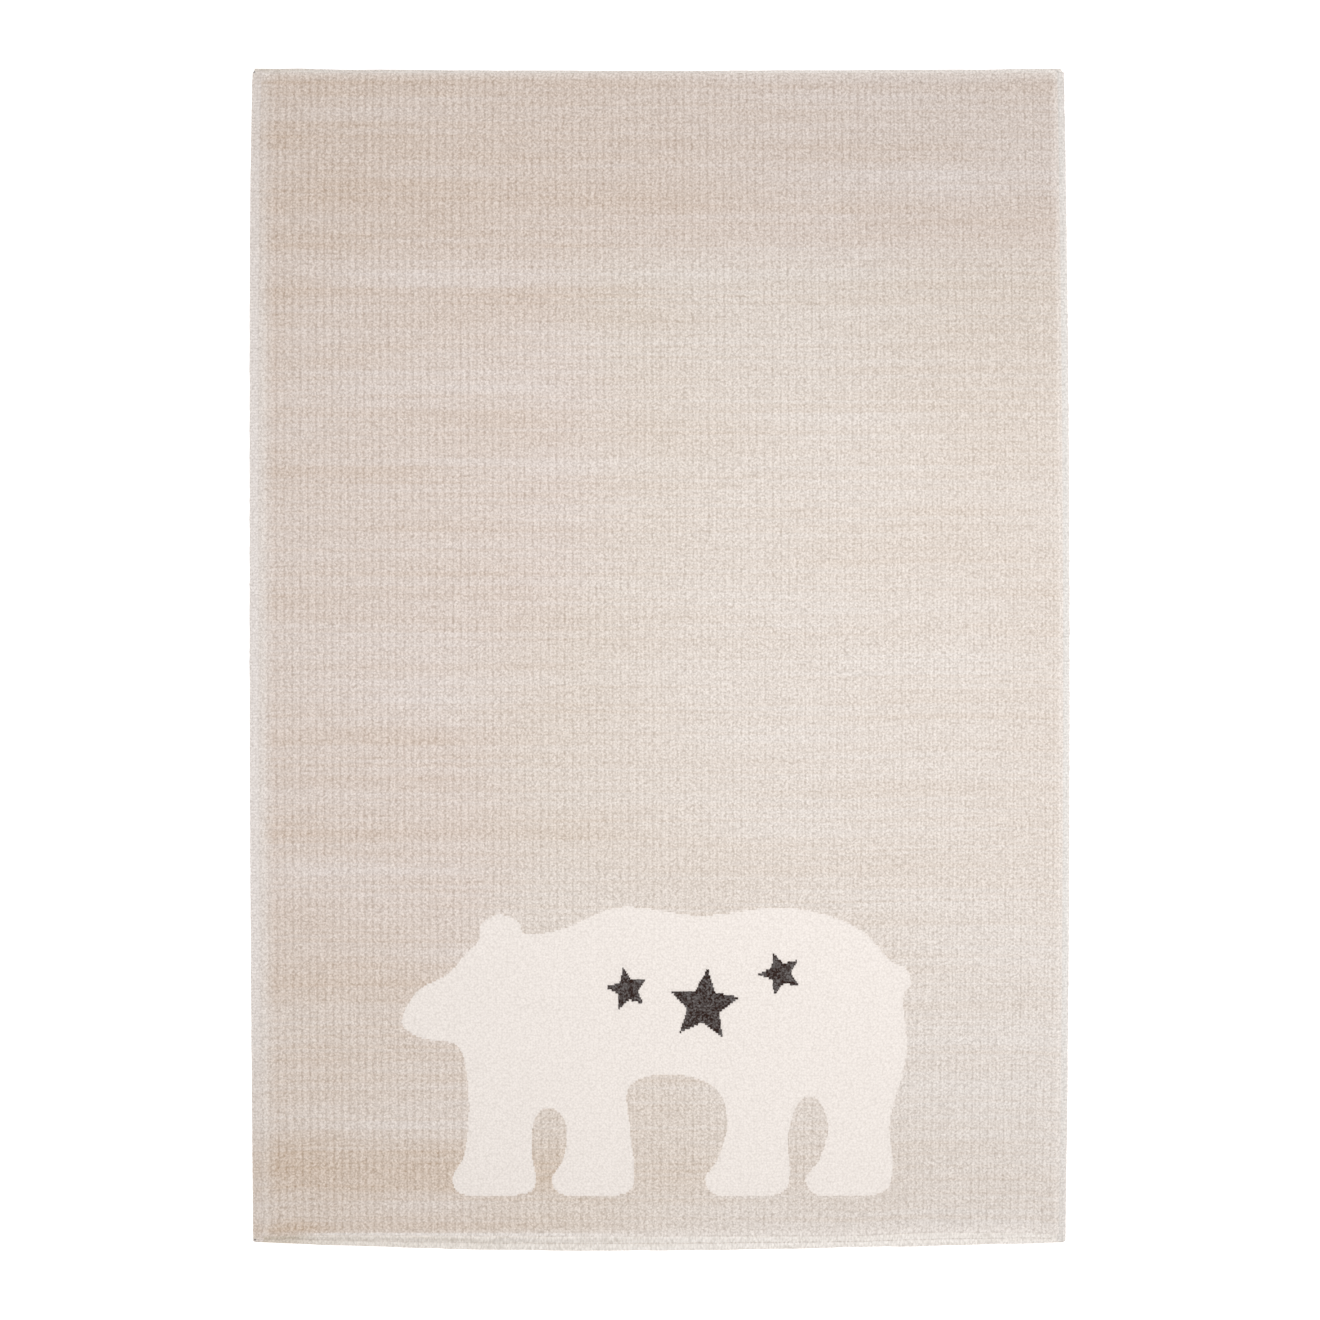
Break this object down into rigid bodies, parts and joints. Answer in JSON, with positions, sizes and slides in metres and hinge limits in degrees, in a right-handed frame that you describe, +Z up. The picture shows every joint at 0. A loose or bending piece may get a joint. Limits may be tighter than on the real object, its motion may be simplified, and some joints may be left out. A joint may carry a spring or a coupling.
{
  "type": "kids rug with woven bear motif",
  "caption": "Flat rectangular children's rug: cut pile in lengthwise ribs on a woven ground, turned hems at both ends and overcast yarn edges along both sides.",
  "frame": {"origin": "middle of the rug's outline, on the floor that it lies on", "axes": "+X across the width, +Y along the length towards the end with the narrow hem, +Z up out of the pile"},
  "size_m": [1.3366, 1.923, 0.011],
  "materials": {
    "ribbed_pile": "beige cut pile with sand and taupe streaks across the ribs",
    "binding_yarn": "pale beige overcast yarn",
    "ground_cloth": "off-white woven ground and hems, stitched",
    "cream_pile": "level cream cut pile",
    "charcoal_pile": "charcoal cut pile, a little longer"
  },
  "bodies": {
    "root": {"rug_body": "ribbed_pile", "edge_binding_left": "binding_yarn", "edge_binding_right": "binding_yarn"}
  },
  "joints": []
}
